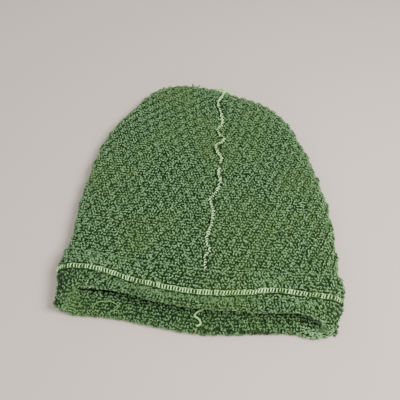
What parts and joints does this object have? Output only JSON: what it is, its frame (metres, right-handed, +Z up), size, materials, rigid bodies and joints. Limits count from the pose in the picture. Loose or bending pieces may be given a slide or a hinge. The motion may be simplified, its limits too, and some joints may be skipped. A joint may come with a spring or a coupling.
{
  "type": "knit hat",
  "caption": "Soft textured knit beanie lying flat, with a wavy raised centre seam and a turned-up, overlocked hem round the open end.",
  "frame": {"origin": "centre of the bounding box, on the surface that the hat lies on", "axes": "+X to the right across the hem, +Y from the open hem to the top of the crown, +Z up out of the surface"},
  "size_m": [0.2478, 0.2706, 0.0345],
  "materials": {
    "knit": "chunky textured knit, matt and slightly fuzzy",
    "thread": "matt overlock thread"
  },
  "bodies": {
    "root": {"crown_left": "knit", "crown_right": "knit", "hem_band": "knit", "hem_overlock": "thread", "crown_seam": "thread", "seam_tail": "thread"}
  },
  "joints": []
}
